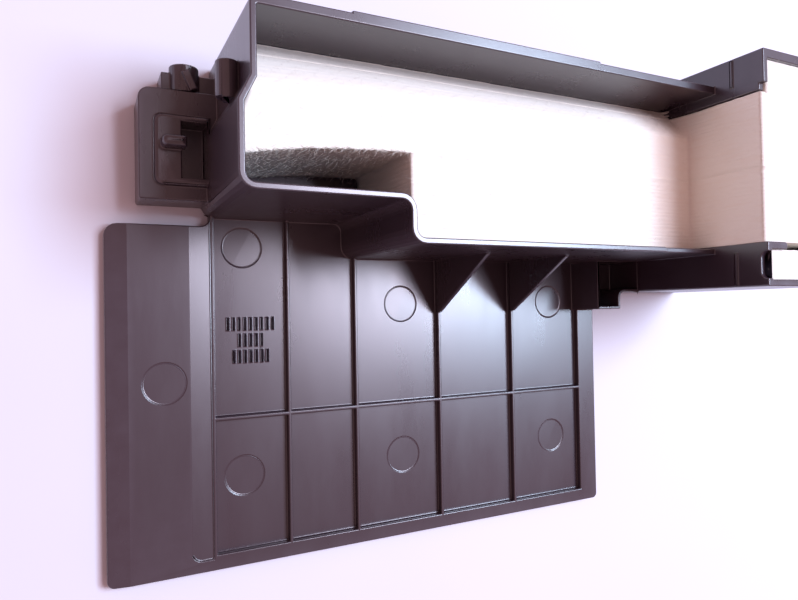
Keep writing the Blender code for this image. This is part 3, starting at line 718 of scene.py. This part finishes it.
def pin_mark(name, centre, normal, radius, tilt):
    """The low face an ejector pin leaves: a disc folded along a diagonal, with a fine raised rim."""
    shape = bmesh.new()
    fold = Matrix.Rotation(PIN_FOLD, 2)
    rows = []
    for share, rise in PIN_RINGS:
        row = []
        for k in range(1 if share == 0.0 else PIN_SIDES):
            angle = 2 * math.pi * k / PIN_SIDES
            x = radius * share * math.cos(angle)
            y = radius * share * math.sin(angle)
            off = (fold @ Vector((x, y))).y
            fall = off if off < 0.0 else -CREASE_FALL * off
            height = PIN_LIFT + rise + math.tan(tilt) * fall
            row.append(shape.verts.new((x, y, height)))
        rows.append(row)
    for k in range(PIN_SIDES):
        after = (k + 1) % PIN_SIDES
        shape.faces.new((rows[0][0], rows[1][k], rows[1][after]))
        for inner, outer in zip(rows[1:], rows[2:]):
            shape.faces.new((inner[k], outer[k], outer[after], inner[after]))
    floor = [shape.verts.new((v.co.x, v.co.y, PIN_FLOOR)) for v in rows[-1]]
    for k in range(PIN_SIDES):
        after = (k + 1) % PIN_SIDES
        shape.faces.new((rows[-1][k], floor[k], floor[after], rows[-1][after]))
    shape.faces.new(list(reversed(floor)))
    obj = add_object(name, shape)
    obj.data.transform(normal.to_track_quat("Z", "Y").to_matrix().to_4x4())
    obj.location = centre
    return obj


# ---------------------------------------------------------------------------
# operators
# ---------------------------------------------------------------------------
class TRAY_OT_moulding(bpy.types.Operator):
    """Give the moulding its finish and round its edges"""

    bl_idname = "ink_tray.moulding"
    bl_label = "Finish the moulding"

    def execute(self, context):
        settings = context.scene.tray_finish
        tray = frame["nodes"]["tray_moulding"]
        finish = plastic_material(settings)
        tray.data.materials.clear()
        tray.data.materials.append(finish)
        weld = tray.modifiers.new("join_faces", "WELD")
        weld.merge_threshold = WELD
        flat = tray.modifiers.new("merge_flat_faces", "DECIMATE")
        flat.decimate_type = "DISSOLVE"
        flat.angle_limit = math.radians(0.5)
        edges = tray.modifiers.new("soft_edges", "BEVEL")
        edges.width = settings.edge_radius
        edges.segments = 2
        edges.limit_method = "ANGLE"
        edges.angle_limit = math.radians(28.0)
        edges.use_clamp_overlap = False
        edges.harden_normals = True
        self.pin_marks(tray, finish)
        return {"FINISHED"}

    def pin_marks(self, tray, finish):
        marks = flat_discs(tray, PIN_RADIUS)
        if not marks:
            raise RuntimeError("the moulding has no ejector marks")
        for index, (centre, normal) in enumerate(marks):
            tilt = STEEP_PIN if index % 3 else SHALLOW_PIN
            mark = pin_mark(f"pin_mark_{index + 1}", centre, normal, PIN_RADIUS, tilt)
            mark.data.materials.append(finish)
            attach(mark, "tray")


class TRAY_OT_felt(bpy.types.Operator):
    """Replace the plain felt solids with soft sheets and their loose fibres"""

    bl_idname = "ink_tray.felt"
    bl_label = "Lay the felt sheets"

    def execute(self, context):
        settings = context.scene.tray_finish
        felt = felt_material(settings)
        loose = fibre_material(settings)
        bodies = frame["record"]["behaviour"]["bodies"]
        corner_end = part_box("felt_lower_1")[0].x
        level = self.trough_level()
        box_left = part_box("felt_front_corner_1")[0].x - WALL_EDGE
        wall = max(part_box(node)[1].y for node in bodies["felt_upper"])
        block_front = min(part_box(node)[0].y for node in bodies["felt_upper"])
        free_end = min(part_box(node)[0].x for node in bodies["felt_upper"])
        for body, nodes in bodies.items():
            if not body.startswith("felt"):
                continue
            for index, node in enumerate(sorted(nodes)):
                low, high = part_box(node)
                step = (box_left, level) if high.x > box_left and low.x < box_left else None
                amount = settings.felt_sag if body == "felt_upper" else 0.0
                lean = (amount, corner_end - 0.5 * MM, free_end, block_front, wall)
                seed = sum(ord(letter) for letter in node)
                slope = (level, wall, SLOPE_REACH) if body == "felt_upper" else None
                flare = FLARE if node == "felt_lower_6" else 0.0
                sheet = soft_sheet(
                    f"{node}_soft", low, high, step, seed, settings.felt_spread, lean, slope, flare
                )
                sheet.data.materials.append(felt)
                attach(sheet, body)
                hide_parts(node)
                roots = edge_roots(low, high, step, settings.fibres_per_sheet, seed, lean)
                if node == "felt_upper_1":
                    curls = face_roots(
                        (low.x, corner_end), (low.z, level), low.y - settings.felt_spread / 2,
                        -1.0, settings.face_fibres, seed, lean,
                    )
                    self.tuft(f"{node}_curls", curls, FACE_FIBRE, seed, loose, body)
                if slope is not None and index >= len(nodes) - SLOPE_SHEETS:
                    roots = [(self.on_slope(root, slope, box_left), out) for root, out in roots]
                self.tuft(f"{node}_fibres", roots, EDGE_FIBRE, seed, loose, body)
        return {"FINISHED"}

    def tuft(self, name, roots, thin, seed, finish, body):
        """Add one group of loose fibres to a block of felt."""
        longest = bpy.context.scene.tray_finish.fibre_length
        fibres = fibre_tuft(name, roots, longest, thin, seed)
        fibres.data.materials.append(finish)
        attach(fibres, body)

    def on_slope(self, root, slope, box_left):
        """Move a fibre's root down to the felt's falling top."""
        if root.x > box_left or root.z < slope[0] - 7 * MM:
            return root
        return Vector((root.x, root.y, slope_at(root.y, slope)))

    def trough_level(self):
        """Height of the felt in the trough, the second highest level of a long sheet."""
        mesh = frame["nodes"]["felt_lower_1"].data
        levels = sorted({round(v.co.z, 5) for v in mesh.vertices})
        return levels[-2]


class TRAY_OT_stage(bpy.types.Operator):
    """Set the table top, the lights and the camera"""

    bl_idname = "ink_tray.stage"
    bl_label = "Set the stage"

    def execute(self, context):
        settings = context.scene.tray_studio
        self.floor(settings)
        self.room(context.scene, settings)
        self.lamp(context.scene, "window", settings.window_power, WINDOW)
        self.lamp(context.scene, "sky", settings.sky_power, SKY)
        self.camera(context.scene, settings)
        context.scene.view_settings.view_transform = "Standard"
        context.scene.view_settings.look = "None"
        return {"FINISHED"}

    def floor(self, settings):
        shape = bmesh.new()
        bmesh.ops.create_grid(shape, x_segments=4, y_segments=4, size=FLOOR_HALF)
        floor = add_object("table_top", shape)
        floor.location.z = -FLOOR_GAP
        floor.data.materials.append(floor_material(settings))

    def room(self, scene, settings):
        world = bpy.data.worlds.new("room")
        scene.world = world
        world.use_nodes = True
        background = world.node_tree.nodes["Background"]
        background.inputs["Color"].default_value = (*ROOM_COLOUR, 1.0)
        background.inputs["Strength"].default_value = settings.room_strength

    def lamp(self, scene, name, power, place):
        """A soft rectangle of light that faces the tray; place gives its angles and size."""
        data = bpy.data.lights.new(name, "AREA")
        data.shape = "RECTANGLE"
        data.size = place["width"]
        data.size_y = place["height"]
        data.color = place["colour"]
        data.energy = power
        lamp = bpy.data.objects.new(name, data)
        scene.collection.objects.link(lamp)
        rise = math.radians(place["elevation"])
        turn = math.radians(place["azimuth"])
        away = Vector((
            math.cos(rise) * math.cos(turn), math.cos(rise) * math.sin(turn), math.sin(rise)
        ))
        lamp.location = away * LAMP_DISTANCE
        lamp.rotation_mode = "QUATERNION"
        lamp.rotation_quaternion = away.to_track_quat("Z", "Y")

    def camera(self, scene, settings):
        data = bpy.data.cameras.new("camera")
        data.lens = settings.camera_lens
        data.sensor_width = 36.0
        data.sensor_fit = "HORIZONTAL"
        data.clip_start = 1 * MM
        camera = bpy.data.objects.new("camera", data)
        scene.collection.objects.link(camera)
        camera.location = settings.camera_place
        camera.rotation_euler = settings.camera_turn
        scene.camera = camera


class TRAY_PT_panel(bpy.types.Panel):
    """Sizes, colours and steps of the tray"""

    bl_idname = "TRAY_PT_panel"
    bl_label = "Ink pad tray"
    bl_space_type = "VIEW_3D"
    bl_region_type = "UI"
    bl_category = "Ink Pad Tray"

    def draw(self, context):
        layout = self.layout
        for group in (context.scene.tray_finish, context.scene.tray_studio):
            column = layout.column()
            for name in group.bl_rna.properties.keys():
                if name not in ("rna_type", "name"):
                    column.prop(group, name)
        for operator in OPERATORS:
            layout.operator(operator.bl_idname)


OPERATORS = (TRAY_OT_moulding, TRAY_OT_felt, TRAY_OT_stage)
CLASSES = (TrayFinishSettings, TrayStudioSettings, *OPERATORS, TRAY_PT_panel)


def register():
    for cls in CLASSES:
        bpy.utils.register_class(cls)
    bpy.types.Scene.tray_finish = bpy.props.PointerProperty(type=TrayFinishSettings)
    bpy.types.Scene.tray_studio = bpy.props.PointerProperty(type=TrayStudioSettings)


def unregister():
    del bpy.types.Scene.tray_studio
    del bpy.types.Scene.tray_finish
    for cls in reversed(CLASSES):
        bpy.utils.unregister_class(cls)


def main():
    """Build everything in order."""
    register()
    bpy.ops.ink_tray.moulding()
    bpy.ops.ink_tray.felt()
    bpy.ops.ink_tray.stage()


if __name__ == "__main__":
    main()
